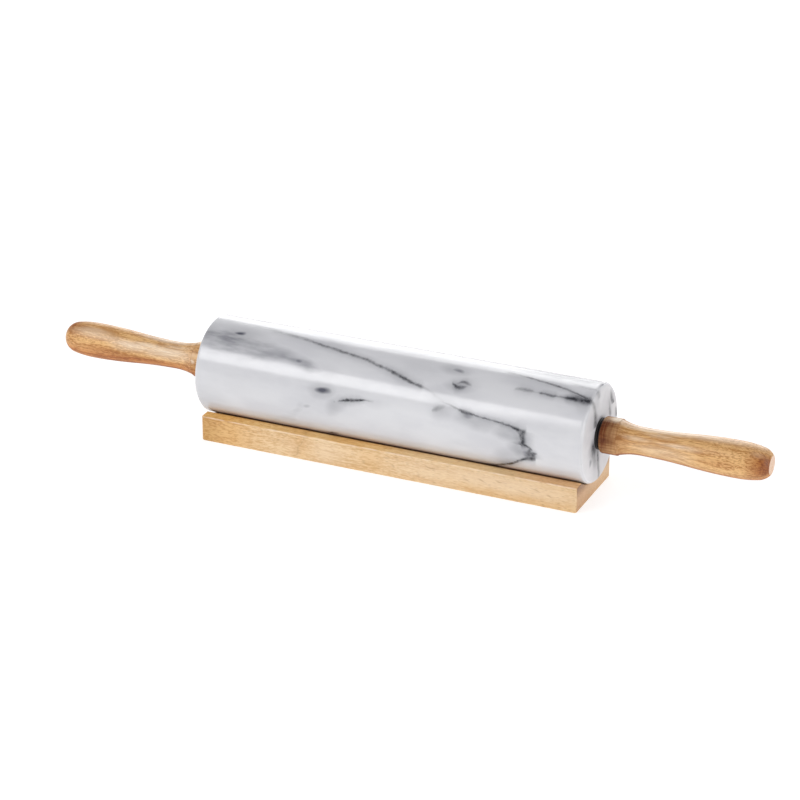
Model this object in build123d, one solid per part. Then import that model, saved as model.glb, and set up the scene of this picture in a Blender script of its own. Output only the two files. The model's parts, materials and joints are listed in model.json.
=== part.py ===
from build123d import *
import math
import os

# Marble rolling pin on its wooden cradle, in millimetres.
# The pin lies along X, the cradle stands on Z = 0 and its underside is centred on the origin.

# Marble roller
roller_length = 254.0
roller_diameter = 61.0
rim_bevel = 1.6
rim_softening = 0.4
bore_mouth_bevel = 0.4

# Steel axle rod
rod_diameter = 8.0
rod_grip = 22.0
rod_end_bevel = 0.6

# Plastic bushings pressed into both ends of the marble's bore
sleeve_wall = 3.9
sleeve_length = 24.0
flange_overlap = 1.6
flange_thickness = 1.5
flange_edge_radius = 0.5

# Thrust washers that ride with the handles
washer_inset = 1.5
washer_thickness = 0.9
washer_edge_radius = 0.4

# Brass inserts that hold the rod in the handles
insert_wall = 2.0
insert_length = 16.0
insert_head_overlap = 1.2
insert_head_thickness = 1.2
insert_end_bevel = 0.3

# Turned wooden handles, from the collar outwards; steps and drops are in radius
waist_wall = 2.45
collar_step = 2.65
collar_length = 10.4
collar_edge_radius = 0.9
corner_edge_radius = 0.3
quirk_depth = 0.4
shoulder_length = 13.7
belly_step = 2.7
swell_length = 58.9
swell_turn_share = 0.5
taper_drop = 1.4
taper_length = 13.6
tip_drop = 3.95
tip_length = 5.9

# Cradle
trough_ease = 4.5
trough_depth = 6.5
trough_floor = 9.8
trough_lip_radius = 0.5
strip_width = 7.95
cradle_inset = 3.1
cradle_corner_radius = 1.8
cradle_edge_radius = 0.7

# Clearances
seat_gap = 0.3
side_gap = 0.3
running_gap = 0.08
press_gap = 0.03
washer_gap = 0.25
rod_end_gap = 1.5
cut_overrun = 5.0
match_gap = 0.001

# Worked out along the radius
roller_radius = roller_diameter / 2
sleeve_bore = rod_diameter + 2 * running_gap
sleeve_diameter = sleeve_bore + 2 * sleeve_wall
bore_diameter = sleeve_diameter + 2 * press_gap
flange_diameter = bore_diameter + 2 * flange_overlap
insert_diameter = rod_diameter + 2 * insert_wall
insert_head_diameter = insert_diameter + 2 * insert_head_overlap
waist_radius = insert_diameter / 2 + waist_wall
collar_radius = waist_radius + collar_step
belly_radius = waist_radius + belly_step
taper_radius = belly_radius - taper_drop
tip_radius = taper_radius - tip_drop
washer_diameter = 2 * (collar_radius - washer_inset)

# Worked out along the pin
roller_end = roller_length / 2
washer_start = roller_end + flange_thickness + side_gap
handle_start = washer_start + washer_thickness
collar_end = handle_start + collar_length
waist_at = collar_end + shoulder_length
belly_at = waist_at + swell_length
taper_end = belly_at + taper_length
handle_end = taper_end + tip_length
rod_length = 2 * (handle_start + rod_grip)

# Worked out for the cradle
trough_radius = roller_radius + trough_ease
trough_half_width = math.sqrt(trough_radius**2 - (trough_radius - trough_depth)**2)
cradle_width = 2 * (trough_half_width + strip_width)
cradle_height = trough_floor + trough_depth
cradle_length = roller_length - 2 * cradle_inset
axis_height = trough_floor + seat_gap + roller_radius


def turned(outline):
    """Turn a closed outline, drawn as (distance along the pin, radius), round the pin's axis."""
    return revolve(make_face(outline), Axis.X)


def plug(diameter, start, length):
    """A plain round bar along the pin's axis."""
    return Plane.YZ.offset(start) * extrude(Circle(diameter / 2), length)


def bored(body, diameter, start, length):
    """The body with a round hole along the pin's axis that runs out past both ends of a stretch."""
    return body - plug(diameter, start - cut_overrun, length + 2 * cut_overrun)


def circles_of(piece, diameter, position=None):
    """The round edges of one diameter, all of them or those at one distance along the pin."""
    edges = [edge for edge in piece.edges().filter_by(GeomType.CIRCLE)
             if math.isclose(2 * edge.radius, diameter, abs_tol=match_gap)]
    if position is None:
        return ShapeList(edges)
    return ShapeList(edge for edge in edges if math.isclose(edge.arc_center.X, position, abs_tol=match_gap))


def marble_roller():
    """The barrel: a bevelled cylinder bored from end to end."""
    barrel = plug(roller_diameter, -roller_end, roller_length)
    barrel = chamfer(circles_of(barrel, roller_diameter), rim_bevel)
    bevel_edges = circles_of(barrel, roller_diameter) + circles_of(barrel, roller_diameter - 2 * rim_bevel)
    barrel = fillet(bevel_edges, rim_softening)
    barrel = bored(barrel, bore_diameter, -roller_end, roller_length)
    return chamfer(circles_of(barrel, bore_diameter), bore_mouth_bevel)


def bushing():
    """A flanged sleeve: the sleeve sits in the marble and the flange lies on the marble's end."""
    sleeve_start = roller_end - sleeve_length
    sleeve = plug(sleeve_diameter, sleeve_start, sleeve_length)
    sleeve = chamfer(circles_of(sleeve, sleeve_diameter, sleeve_start), bore_mouth_bevel)
    flange = plug(flange_diameter, roller_end, flange_thickness)
    flange = fillet(circles_of(flange, flange_diameter, roller_end + flange_thickness), flange_edge_radius)
    return bored(sleeve + flange, sleeve_bore, sleeve_start, sleeve_length + flange_thickness)


def washer():
    """The thrust washer on the handle's side of the running gap."""
    body = plug(washer_diameter, washer_start, washer_thickness)
    body = fillet(circles_of(body, washer_diameter, washer_start), washer_edge_radius)
    return bored(body, rod_diameter + 2 * washer_gap, washer_start, washer_thickness)


def handle_outline():
    """Half the turned profile: collar, quirk, cove, waist, belly and nose, as lines and tangent arcs."""
    foot = (handle_start, 0)
    collar_foot = (handle_start, collar_radius - collar_edge_radius)
    collar_near = (handle_start + collar_edge_radius, collar_radius)
    collar_far = (collar_end - corner_edge_radius, collar_radius)
    corner_low = (collar_end, collar_radius - corner_edge_radius)
    cove_top = (collar_end, collar_radius - quirk_depth)
    waist = (waist_at, waist_radius)
    turn_at = waist_at + swell_turn_share * swell_length
    turn = (turn_at, waist_radius + swell_turn_share * belly_step)
    belly = (belly_at, belly_radius)
    nose = (taper_end, taper_radius)
    tip = (handle_end, tip_radius)
    tip_centre = (handle_end, 0)

    inward, outward, upward = (-1, 0), (1, 0), (0, 1)
    inner_face = Line(foot, collar_foot)
    collar_edge = TangentArc(collar_foot, collar_near, tangent=upward)
    collar_side = Line(collar_near, collar_far)
    corner = TangentArc(collar_far, corner_low, tangent=outward)
    quirk = Line(corner_low, cove_top)
    cove = TangentArc(waist, cove_top, tangent=inward)
    hollow = TangentArc(waist, turn, tangent=outward)
    swell = TangentArc(belly, turn, tangent=inward)
    taper = TangentArc(belly, nose, tangent=outward)
    round_over = TangentArc(nose, tip, tangent=taper % 1)
    tip_face = Line(tip, tip_centre)
    axis_line = Line(tip_centre, foot)
    return [inner_face, collar_edge, collar_side, corner, quirk, cove,
            hollow, swell, taper, round_over, tip_face, axis_line]


def handle():
    """The turned handle with the stepped socket that takes the insert and the rod's end."""
    body = turned(handle_outline())
    head_hole = insert_head_diameter + 2 * press_gap
    insert_hole = insert_diameter + 2 * press_gap
    pilot_hole = rod_diameter + 2 * washer_gap
    head_depth = insert_head_thickness + press_gap
    body -= plug(head_hole, handle_start - cut_overrun, head_depth + cut_overrun)
    body -= plug(insert_hole, handle_start - cut_overrun, insert_length + rod_end_gap + cut_overrun)
    body -= plug(pilot_hole, handle_start - cut_overrun, rod_grip + rod_end_gap + cut_overrun)
    return body


def insert():
    """The brass insert: a sleeve with a thin head let in flush with the handle's inner face."""
    sleeve = plug(insert_diameter, handle_start, insert_length)
    sleeve = chamfer(circles_of(sleeve, insert_diameter, handle_start + insert_length), insert_end_bevel)
    head = plug(insert_head_diameter, handle_start, insert_head_thickness)
    return bored(sleeve + head, rod_diameter + 2 * press_gap, handle_start, insert_length)


def axle_rod():
    """The rod that runs from inside one handle to inside the other."""
    rod = plug(rod_diameter, -rod_length / 2, rod_length)
    return chamfer(circles_of(rod, rod_diameter), rod_end_bevel)


def cradle():
    """The block with its round trough, corners and edges eased."""
    block = Pos(0, 0, cradle_height / 2) * Box(cradle_length, cradle_width, cradle_height)
    block = fillet(block.edges().filter_by(Axis.Z), cradle_corner_radius)
    flat_faces = block.faces().filter_by(Axis.Z)
    block = fillet(flat_faces.edges(), cradle_edge_radius)
    trough = plug(2 * trough_radius, -cradle_length / 2 - cut_overrun, cradle_length + 2 * cut_overrun)
    block -= Pos(0, 0, trough_floor + trough_radius) * trough
    trough_wall = block.faces().filter_by(GeomType.CYLINDER).sort_by(SortBy.AREA)[-1]
    lips = trough_wall.edges().filter_by(Axis.X)
    return fillet(lips, trough_lip_radius)


def at_axis(piece):
    """Lift a piece that was made on the X axis to the pin's height above the table."""
    return Pos(0, 0, axis_height) * piece


def both_ends(name, piece):
    """The piece on the right-hand end and the same piece turned about to the left-hand end."""
    return {"right_" + name: at_axis(piece), "left_" + name: at_axis(Rot(0, 0, 180) * piece)}


def make_nodes():
    """Every piece of the object by its node's name."""
    paired = {"bushing": bushing(), "washer": washer(), "insert": insert(), "handle": handle()}
    nodes = {"cradle": cradle(), "marble_roller": at_axis(marble_roller()), "axle_rod": at_axis(axle_rod())}
    for name, piece in paired.items():
        nodes.update(both_ends(name, piece))
    return nodes


os.makedirs("parts", exist_ok=True)
for node_name, node_piece in make_nodes().items():
    export_step(node_piece, "parts/" + node_name + ".step")
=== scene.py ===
"""A marble rolling pin at rest in its wooden cradle: its pieces, finishes, studio and camera."""
import bmesh
import bpy
import json
import math
import numpy as np
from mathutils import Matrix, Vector

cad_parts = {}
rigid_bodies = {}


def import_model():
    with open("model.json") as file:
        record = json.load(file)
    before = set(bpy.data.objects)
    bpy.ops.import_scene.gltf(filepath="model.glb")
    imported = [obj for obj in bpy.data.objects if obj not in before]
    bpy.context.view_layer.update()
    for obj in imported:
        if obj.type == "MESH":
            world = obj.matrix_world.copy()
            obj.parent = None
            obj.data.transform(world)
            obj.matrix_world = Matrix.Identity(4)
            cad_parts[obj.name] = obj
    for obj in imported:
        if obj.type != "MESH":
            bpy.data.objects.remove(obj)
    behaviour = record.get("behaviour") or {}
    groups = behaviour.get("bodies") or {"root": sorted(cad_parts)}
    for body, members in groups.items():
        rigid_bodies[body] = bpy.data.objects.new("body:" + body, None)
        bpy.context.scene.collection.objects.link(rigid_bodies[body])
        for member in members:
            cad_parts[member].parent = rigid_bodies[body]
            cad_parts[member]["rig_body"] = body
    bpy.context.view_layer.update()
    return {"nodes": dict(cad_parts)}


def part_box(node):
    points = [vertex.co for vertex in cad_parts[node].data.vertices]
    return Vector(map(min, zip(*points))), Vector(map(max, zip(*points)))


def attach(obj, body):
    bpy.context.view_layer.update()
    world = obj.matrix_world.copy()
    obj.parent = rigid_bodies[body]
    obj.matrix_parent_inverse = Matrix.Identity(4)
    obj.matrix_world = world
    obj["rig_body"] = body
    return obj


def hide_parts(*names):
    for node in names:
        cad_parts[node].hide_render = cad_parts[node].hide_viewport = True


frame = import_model()

mm = 0.001

# Sizes read from the frame, in metres
barrel_low, barrel_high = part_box("marble_roller")
bushing_low, bushing_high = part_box("right_bushing")
washer_low, washer_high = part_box("right_washer")
insert_low, insert_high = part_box("right_insert")
handle_low, handle_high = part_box("right_handle")
rod_low, rod_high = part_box("axle_rod")
cradle_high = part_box("cradle")[1]
barrel_end = barrel_high.x
barrel_radius = (barrel_high.y - barrel_low.y) / 2
axis_height = (barrel_high.z + barrel_low.z) / 2
rod_radius = (rod_high.y - rod_low.y) / 2
flange_radius = (bushing_high.y - bushing_low.y) / 2
washer_radius = (washer_high.y - washer_low.y) / 2
insert_head_radius = (insert_high.y - insert_low.y) / 2
belly_radius = (handle_high.y - handle_low.y) / 2
handle_start = handle_low.x
handle_end = handle_high.x
cradle_half_length = cradle_high.x
cradle_half_width = cradle_high.y
cradle_height = cradle_high.z

# Small sizes of the stone and the plastic pieces
rim_bevel = 1.6 * mm
rim_softening = 1.8 * mm
bore_mouth_bevel = 0.4 * mm
flange_edge_radius = 0.5 * mm
washer_edge_radius = 0.4 * mm
sleeve_wall = 3.9 * mm
running_gap = 0.08 * mm
press_gap = 0.03 * mm
washer_gap = 0.25 * mm
sleeve_bore_radius = rod_radius + running_gap
sleeve_radius = sleeve_bore_radius + sleeve_wall
bore_radius = sleeve_radius + press_gap

# Small sizes of the turned handle: steps in its radius, then stretches of its length
belly_step = 2.7 * mm
collar_step = 2.65 * mm
taper_drop = 1.4 * mm
tip_drop = 3.95 * mm
collar_length = 10.4 * mm
shoulder_length = 13.7 * mm
taper_length = 13.6 * mm
tip_length = 5.9 * mm
collar_edge_radius = 0.9 * mm
corner_edge_radius = 0.3 * mm
quirk_depth = 0.4 * mm
waist_radius = belly_radius - belly_step
collar_radius = waist_radius + collar_step
taper_radius = belly_radius - taper_drop
tip_radius = taper_radius - tip_drop
collar_end = handle_start + collar_length
waist_at = collar_end + shoulder_length
taper_end = handle_end - tip_length
belly_at = taper_end - taper_length

# The stepped socket in the handle's inner face
insert_head_overlap = 1.2 * mm
insert_head_thickness = 1.2 * mm
insert_length = 16.0 * mm
rod_grip = 22.0 * mm
rod_end_gap = 1.5 * mm
insert_sleeve_radius = insert_head_radius - insert_head_overlap
head_depth = insert_head_thickness + press_gap
insert_hole_depth = insert_length + rod_end_gap
pilot_hole_depth = rod_grip + rod_end_gap

# Small sizes of the cradle
trough_ease = 4.5 * mm
trough_floor = 9.8 * mm
trough_depth = cradle_height - trough_floor
trough_radius = barrel_radius + trough_ease
trough_half_width = math.sqrt(trough_radius**2 - (trough_radius - trough_depth)**2)
lip_radius = 0.5 * mm
cradle_edge_radius = 0.7 * mm
cradle_corner_radius = 1.8 * mm
trough_edge_radius = 0.25 * mm

# Hand-finishing: how deep the slow waves are on each piece
barrel_wave = 0.035 * mm
handle_wave = 0.07 * mm
cradle_wave = 0.04 * mm

# Meshes: points nearer than this are one, edges sharper than this stay sharp, and how many sides go round
merge_distance = 0.5e-6
sharp_angle = math.radians(40)
barrel_sides = 256
handle_sides = 144
ring_sides = 160

# The camera that took the picture, as fitted to the outlines of the pin and the cradle
camera_azimuth = 24.324
camera_elevation = 24.328
camera_lens = 125.888
camera_sensor = 36.0
camera_distance = 1.69407
camera_target = (-2.052 * mm, 0.0, 38.166 * mm)


class Wire:
    """A number that runs through a finish's nodes; a sum or product of wires adds the node for it."""

    def __init__(self, finish, socket):
        self.finish = finish
        self.socket = socket

    def __add__(self, other):
        return self.finish.math("ADD", self, other)

    def __sub__(self, other):
        return self.finish.math("SUBTRACT", self, other)

    def __rsub__(self, other):
        return self.finish.math("SUBTRACT", other, self)

    def __mul__(self, other):
        return self.finish.math("MULTIPLY", self, other)

    def __truediv__(self, other):
        return self.finish.math("DIVIDE", self, other)

    def __abs__(self):
        return self.finish.math("ABSOLUTE", self)

    __radd__ = __add__
    __rmul__ = __mul__


class Finish:
    """A node material with short ways to add and join its nodes."""

    def __init__(self, name):
        self.material = bpy.data.materials.new(name)
        self.material.use_nodes = True
        self.tree = self.material.node_tree
        self.shader = self.tree.nodes["Principled BSDF"]

    def feed(self, socket, value):
        """Join a wire to a socket, or set the socket to a plain value."""
        if isinstance(value, Wire):
            self.tree.links.new(value.socket, socket)
        else:
            socket.default_value = value

    def node(self, kind, **settings):
        """A new node with the given settings."""
        made = self.tree.nodes.new("ShaderNode" + kind)
        for name, value in settings.items():
            setattr(made, name, value)
        return made

    def fed(self, made, output, **values):
        """The named output of a node whose inputs are fed by name, with underscores for spaces."""
        for name, value in values.items():
            self.feed(made.inputs[name.replace("_", " ")], value)
        return Wire(self, made.outputs[output])

    def math(self, operation, *values):
        """One step of arithmetic on wires or numbers."""
        made = self.node("Math", operation=operation)
        for socket, value in zip(made.inputs, values):
            self.feed(socket, value)
        return Wire(self, made.outputs[0])

    def clamped(self, value):
        """The value held between 0 and 1."""
        return self.fed(self.node("Clamp"), "Result", Value=value)

    def larger(self, *values):
        """The largest of several wires at each place."""
        total = values[0]
        for value in values[1:]:
            total = self.math("MAXIMUM", total, value)
        return total

    def stretch(self, value, low, high, to_low=0.0, to_high=1.0, eased=True):
        """The value carried from one range to another and held there, with eased ends if asked."""
        made = self.node("MapRange", interpolation_type="SMOOTHSTEP" if eased else "LINEAR")
        ends = {"From_Min": low, "From_Max": high, "To_Min": to_low, "To_Max": to_high}
        return self.fed(made, "Result", Value=value, **ends)

    def curve(self, value, points):
        """The height of a smooth curve through points from 0 to 1, read at a value."""
        made = self.node("FloatCurve")
        line = made.mapping.curves[0]
        line.points[0].location = points[0]
        line.points[1].location = points[-1]
        for point in points[1:-1]:
            line.points.new(*point)
        for point in line.points:
            point.handle_type = "AUTO_CLAMPED"
        made.mapping.update()
        return self.fed(made, "Value", Value=value)

    def place(self, scale=(1, 1, 1), turn=(0, 0, 0)):
        """The piece's own coordinates, in metres, scaled and turned."""
        made = self.node("Mapping")
        made.inputs["Scale"].default_value = scale
        made.inputs["Rotation"].default_value = turn
        self.tree.links.new(self.node("TexCoord").outputs["Object"], made.inputs["Vector"])
        return Wire(self, made.outputs[0])

    def parts(self, vector):
        """The three numbers of a vector wire."""
        made = self.node("SeparateXYZ")
        self.feed(made.inputs[0], vector)
        return [Wire(self, output) for output in made.outputs]

    def noise(self, vector, scale, detail=2.0, roughness=0.5, distortion=0.0, output="Fac"):
        """Soft noise between 0 and 1, mostly near one half."""
        made = self.node("TexNoise")
        return self.fed(made, output, Vector=vector, Scale=scale, Detail=detail, Roughness=roughness,
                        Distortion=distortion)

    def drawn(self, share, scale, detail=2.0, roughness=0.5, turn=(0, 0, 0)):
        """Noise drawn out along the pin: a share as fine along it as across it."""
        return self.noise(self.place(scale=(share, 1, 1), turn=turn), scale, detail, roughness)

    def wobbles(self, vector, scale, detail=1.0):
        """Three separate soft noises, each between about -1 and 1."""
        coloured = self.noise(vector, scale, detail, output="Color")
        return [(part - 0.5) * 4.0 for part in self.parts(coloured)]

    def cells(self, vector, scale):
        """Scattered seeds: the distance to the nearest one, and that seed's own random number."""
        made = self.node("TexVoronoi")
        distance = self.fed(made, "Distance", Vector=vector, Scale=scale)
        return distance, self.parts(Wire(self, made.outputs["Color"]))[0]

    def mix(self, share, first, second, blend="MIX"):
        """A blend of two colours as far as the share says."""
        made = self.node("Mix", data_type="RGBA", blend_type=blend)
        self.feed(made.inputs["Factor"], share)
        for socket, value in ((made.inputs[6], first), (made.inputs[7], second)):
            self.feed(socket, value if isinstance(value, Wire) else (*value, 1.0))
        return Wire(self, made.outputs[2])

    def tint(self, share, colour, factor):
        """The colour multiplied by another as far as the share says."""
        return self.mix(share, colour, factor, "MULTIPLY")

    def bump(self, height, depth, strength):
        """Raise the surface by a height wire times a depth in metres."""
        made = self.node("Bump")
        made.inputs["Strength"].default_value = strength
        made.inputs["Distance"].default_value = depth
        self.feed(made.inputs["Height"], height)
        self.tree.links.new(made.outputs[0], self.shader.inputs["Normal"])

    def set(self, **values):
        """Set or join the shader's own sockets, named with underscores for spaces."""
        for name, value in values.items():
            if not isinstance(value, (Wire, float, int)):
                value = (*value, 1.0)
            self.feed(self.shader.inputs[name.replace("_", " ")], value)


# The marble's veins on the barrel. Each point is mm along the pin, degrees up round it from the front,
# half the vein's width in mm, and how dark it is there.
veins_along_barrel = [
    # the long one from the upper left
    [(-108, 86.5, 1.9, 0), (-91, 85, 1.7, 0.14), (-80, 82, 1.4, 0.29), (-70, 79.5, 1.3, 0.36),
     (-60, 76.5, 1.2, 0.42), (-52, 72.6, 1.0, 0.54), (-42, 70, 1.0, 0.56), (-33, 67, 0.95, 0.62),
     (-20, 63, 0.9, 0.62), (-10, 58.6, 0.9, 0.62), (0, 53, 0.9, 0.7), (8, 48.6, 1.0, 0.84),
     (15, 45, 0.95, 0.76), (22, 41.6, 0.95, 0.6), (25, 40, 0.6, 0.16), (34, 33, 0.8, 0.07),
     (42, 27.5, 0.5, 0)],
    # the hook's upper edge
    [(34, 30, 0.5, 0), (41, 27.5, 0.6, 0.2), (47, 24.5, 0.6, 0.42), (53, 21.4, 0.9, 0.78),
     (60, 20.6, 0.5, 0.6), (66, 19.2, 0.5, 0.6), (72, 18, 0.55, 0.7), (78, 17.6, 0.6, 0.8),
     (84, 15.4, 0.8, 0.9), (88, 13.2, 1.2, 1), (90.4, 12.1, 1.2, 1), (92, 11.9, 0.6, 0)],
    # the step in its right-hand side
    [(89, -2.5, 0.8, 0), (90.5, -2.8, 1.0, 1), (93.5, -4.4, 0.8, 0.95), (95.8, -6.6, 0.7, 0.8),
     (97, -7.5, 0.3, 0)],
    # the tip and the inner ragged edge
    [(93, -13, 1.0, 0), (95, -12.6, 1.3, 0.7), (97.5, -11.6, 0.9, 0.8), (99.6, -10.8, 0.5, 0)],
    # the lower edge, which runs back to the left
    [(57, -61, 2.2, 0), (62, -58, 2.2, 0.75), (67, -53, 1.8, 0.8), (72, -46.5, 1.2, 0.85),
     (76, -41.3, 1.1, 1), (80, -37, 1.2, 1), (84, -31, 1.0, 0.92), (88, -25.5, 0.9, 0.85),
     (91.5, -21.6, 1.1, 1), (96, -18.8, 1.5, 1), (98, -17.5, 0.8, 0)],
    # the lower right branch, which swells into a black wedge at the rim
    [(78, 58.8, 0.9, 0), (84, 60.2, 1.2, 0.42), (89, 60.2, 0.9, 0.4), (92.5, 59.8, 0.4, 0.12),
     (96, 59.7, 0.7, 0.8), (103, 59.2, 0.85, 0.85), (106, 59.5, 0.5, 0.42), (109, 60, 0.6, 0.5),
     (112, 60.1, 1.0, 1), (118, 60, 1.5, 1), (122, 60.2, 2.1, 1), (124.5, 60.5, 2.3, 1),
     (126, 60.8, 1.8, 0.6), (127.5, 61, 1, 0)],
    # the upper right branch
    [(66, 84.3, 0.9, 0), (75, 82, 0.9, 0.36), (85, 79.9, 0.8, 0.5), (95, 76.6, 0.8, 0.58),
     (105, 73.3, 0.8, 0.66), (113, 69.6, 0.7, 0.66), (119, 66.2, 0.8, 0.76), (123, 63.6, 0.9, 0.88),
     (127.5, 61.6, 0.8, 0)],
    # thin lines between the two branches
    [(110, 69, 0.4, 0), (116, 65, 0.45, 0.42), (121, 62, 0.6, 0.7), (124, 61, 0.5, 0)],
    [(112, 65.6, 0.4, 0), (117, 63, 0.5, 0.45), (121, 61.2, 0.6, 0.6), (124, 60.5, 0.5, 0)],
    [(108, 84.5, 0.8, 0), (115, 82.4, 0.9, 0.18), (121, 81, 0.9, 0.22), (127.5, 79.5, 0.7, 0)],
    # the darker start of the soft band at the left end
    [(-127.5, 60.4, 1.0, 0), (-125, 61, 1.1, 0.2), (-120, 61.5, 1.0, 0.18), (-114, 62.5, 0.9, 0)],
    # the black dash below the middle
    [(-30, 8.0, 0.5, 0), (-26.8, 9.9, 0.6, 0.8), (-22, 11.4, 0.85, 1), (-18, 12.6, 0.8, 1),
     (-14, 13.6, 0.65, 0.95), (-11, 14.2, 0.5, 0.4), (-5, 15.4, 0.4, 0)],
    # the little three-cornered ring
    [(39.5, 52.5, 0.6, 0), (41.5, 50.4, 0.8, 0.72), (44.5, 48.4, 1.0, 0.78), (48, 49.6, 0.8, 0.55),
     (50.5, 52, 0.6, 0)],
    [(42.5, 52.3, 0.6, 0), (44.5, 54.4, 0.7, 0.36), (47.2, 56, 0.9, 0.6), (50.5, 54.8, 0.8, 0.35),
     (53, 53.5, 0.6, 0)],
    # the short slanting smudge
    [(31.5, 17.8, 0.9, 0), (34.5, 20.2, 1.2, 0.34), (37, 22.2, 1.2, 0.3), (40.5, 25, 0.8, 0)],
]
# Soft bands without a sharp line in them, in the same numbers
bands_along_barrel = [
    [(-127.5, 56, 7.8, 0.42), (-118, 56, 8.2, 0.5), (-108, 56, 8.2, 0.54), (-99, 54, 7.6, 0.5),
     (-90, 51.5, 6.6, 0.46), (-80, 49.5, 5.2, 0.42), (-73, 49, 4.2, 0.42), (-66, 46.5, 3.8, 0.42),
     (-60, 44, 3.4, 0.46), (-52, 41.5, 3.2, 0.42), (-46, 39, 2.8, 0.28), (-38, 36, 2.0, 0)],
    [(-120, 66, 1.0, 0), (-110, 62.5, 1.6, 0.16), (-98, 59.5, 1.6, 0.2), (-86, 54, 1.4, 0.16),
     (-76, 51, 1.0, 0)],
    [(-78, 50.6, 0.9, 0), (-74, 50.2, 1.1, 0.3), (-70, 49.6, 1.2, 0.42), (-65, 48.4, 0.8, 0)],
    [(-86, -46, 2.4, 0), (-79, -41, 2.8, 0.1), (-69, -33, 3.6, 0.16), (-60.5, -24, 4.6, 0.18),
     (-57, -14, 4.4, 0.18), (-50, -5, 1.8, 0)],
]
# The same for veins that run round the barrel: degrees, mm along, half width in mm, darkness
veins_round_barrel = [
    # the hook's right-hand side and its ragged lower corner
    [(-4, 90.3, 1.4, 0), (-2.4, 90.2, 1.7, 1), (2, 90.6, 1.5, 1), (7, 90.1, 1.5, 1), (11, 89.6, 1.9, 1),
     (14, 89.5, 1.5, 0)],
    [(-20, 93, 1.6, 0), (-16.5, 93.5, 1.9, 0.7), (-12, 94, 1.6, 0.7), (-8, 94.8, 1.1, 0.8),
     (-5.4, 94.6, 0.7, 0)],
    [(-19.5, 95.2, 1.2, 0), (-17, 95.8, 1.4, 0.9), (-13.5, 96.4, 1.2, 0.85), (-11.2, 97.6, 0.7, 0)],
    # the dark speck at the cradle's lip
    [(-52, -39, 1.8, 0), (-48, -37.6, 1.9, 0.9), (-45, -36, 1.5, 0.62), (-41, -34, 1.0, 0)],
]
# Spots: mm along, degrees round, half length and half height in mm, slant in degrees, darkness
spots = [
    # the speck at the upper left and its shade
    (-104.2, 67.4, 3.2, 1.5, 4, 1.0), (-104, 65, 5.4, 3.0, 0, 0.4), (-105, 67, 15, 5.5, 0, 0.34),
    # the little dash above the band's end, the round spot, and the shade round the black dash
    (-59, 45, 3.4, 1.4, -4, 0.75), (-39.6, 16.8, 4.4, 2.0, 4, 1.0), (-40, 16, 8.5, 5.4, 6, 0.34),
    (-31.4, 6, 1.4, 1.1, 0, 0.5), (-31, 2, 8, 5.0, 35, 0.4), (-23, 7, 10, 3.4, 8, 0.14),
    (-6, 13, 8, 3, 0, 0.12), (-36, 6, 22, 15, 0, 0.13), (-89, 39, 2.8, 1.1, 4, 0.28),
    (-50.3, -5.6, 2.4, 1.1, 12, 0.34),
    # round the three-cornered ring
    (40.6, 71, 3.2, 1.5, -4, 0.7), (38, 71.5, 9.0, 3.6, -2, 0.3), (45.5, 50.5, 8.0, 5.0, 6, 0.3),
    (48, 40, 13, 5.0, -8, 0.1), (38.5, 18, 6.5, 4.4, 0, 0.22), (36, 34, 10, 6.0, -10, 0.14),
    # the grey inside the hook
    (55.5, 18.6, 4.0, 2.2, 0, 0.5), (63, 13.4, 15, 3.8, -4, 0.38), (80, 8.5, 11, 4.6, -8, 0.42),
    (85, 1, 3.8, 6.0, 0, 0.2), (88, -9, 6.5, 7.0, 20, 0.42), (93, -13.5, 4.0, 4.0, 0, 0.5),
    (80, -26, 9.0, 7.0, 35, 0.3), (78, -4, 16, 12, 0, 0.06),
    # broad faint clouds, and a long painted shade on the top at the right that dims the highlight there
    (-43.5, 81.4, 8, 2.0, -12, 0.2), (-84, 47, 24, 5.0, -4, 0.1), (-112, -6, 44, 30, 0, 0.085),
    (-120, -29, 20, 13, 0, 0.2), (-58, -18, 34, 14, 0, 0.09), (-84, 8, 26, 9, 0, 0.1),
    (-60, 66, 40, 5.6, -12, 0.05), (-20, 60, 10, 4.0, -6, 0.1), (18, 69, 15, 5.5, 0, 0.13),
    (-42, 74, 12, 5.5, -8, 0.12), (-40, 38.5, 10, 4.6, -8, 0.14), (35, 82, 30, 3.2, -4, 0.06),
    (10, 43, 14, 4.4, -14, 0.1), (10, 58, 24, 8, 0, 0.08), (96, 69, 24, 5.0, -6, 0.12),
    # the third spot on the next line, 107 mm along at 99 degrees, is painted shade over the top's highlight
    # at the right
    (118, 60.5, 11, 3.4, 0, 0.34), (100, 62, 15, 3.2, 0, 0.18), (107, 99, 36, 3.6, 0, 0.72),
    (22, 88, 34, 4.6, 0, 0.09), (-46, -20, 30, 12, 0, 0.1), (-100, 9, 34, 12, 0, 0.1),
    (-112, -31, 18, 8, 0, 0.16), (48, -26, 16, 8, 0, 0.07), (-64, -24, 90, 14, 0, 0.08),
]
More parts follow.
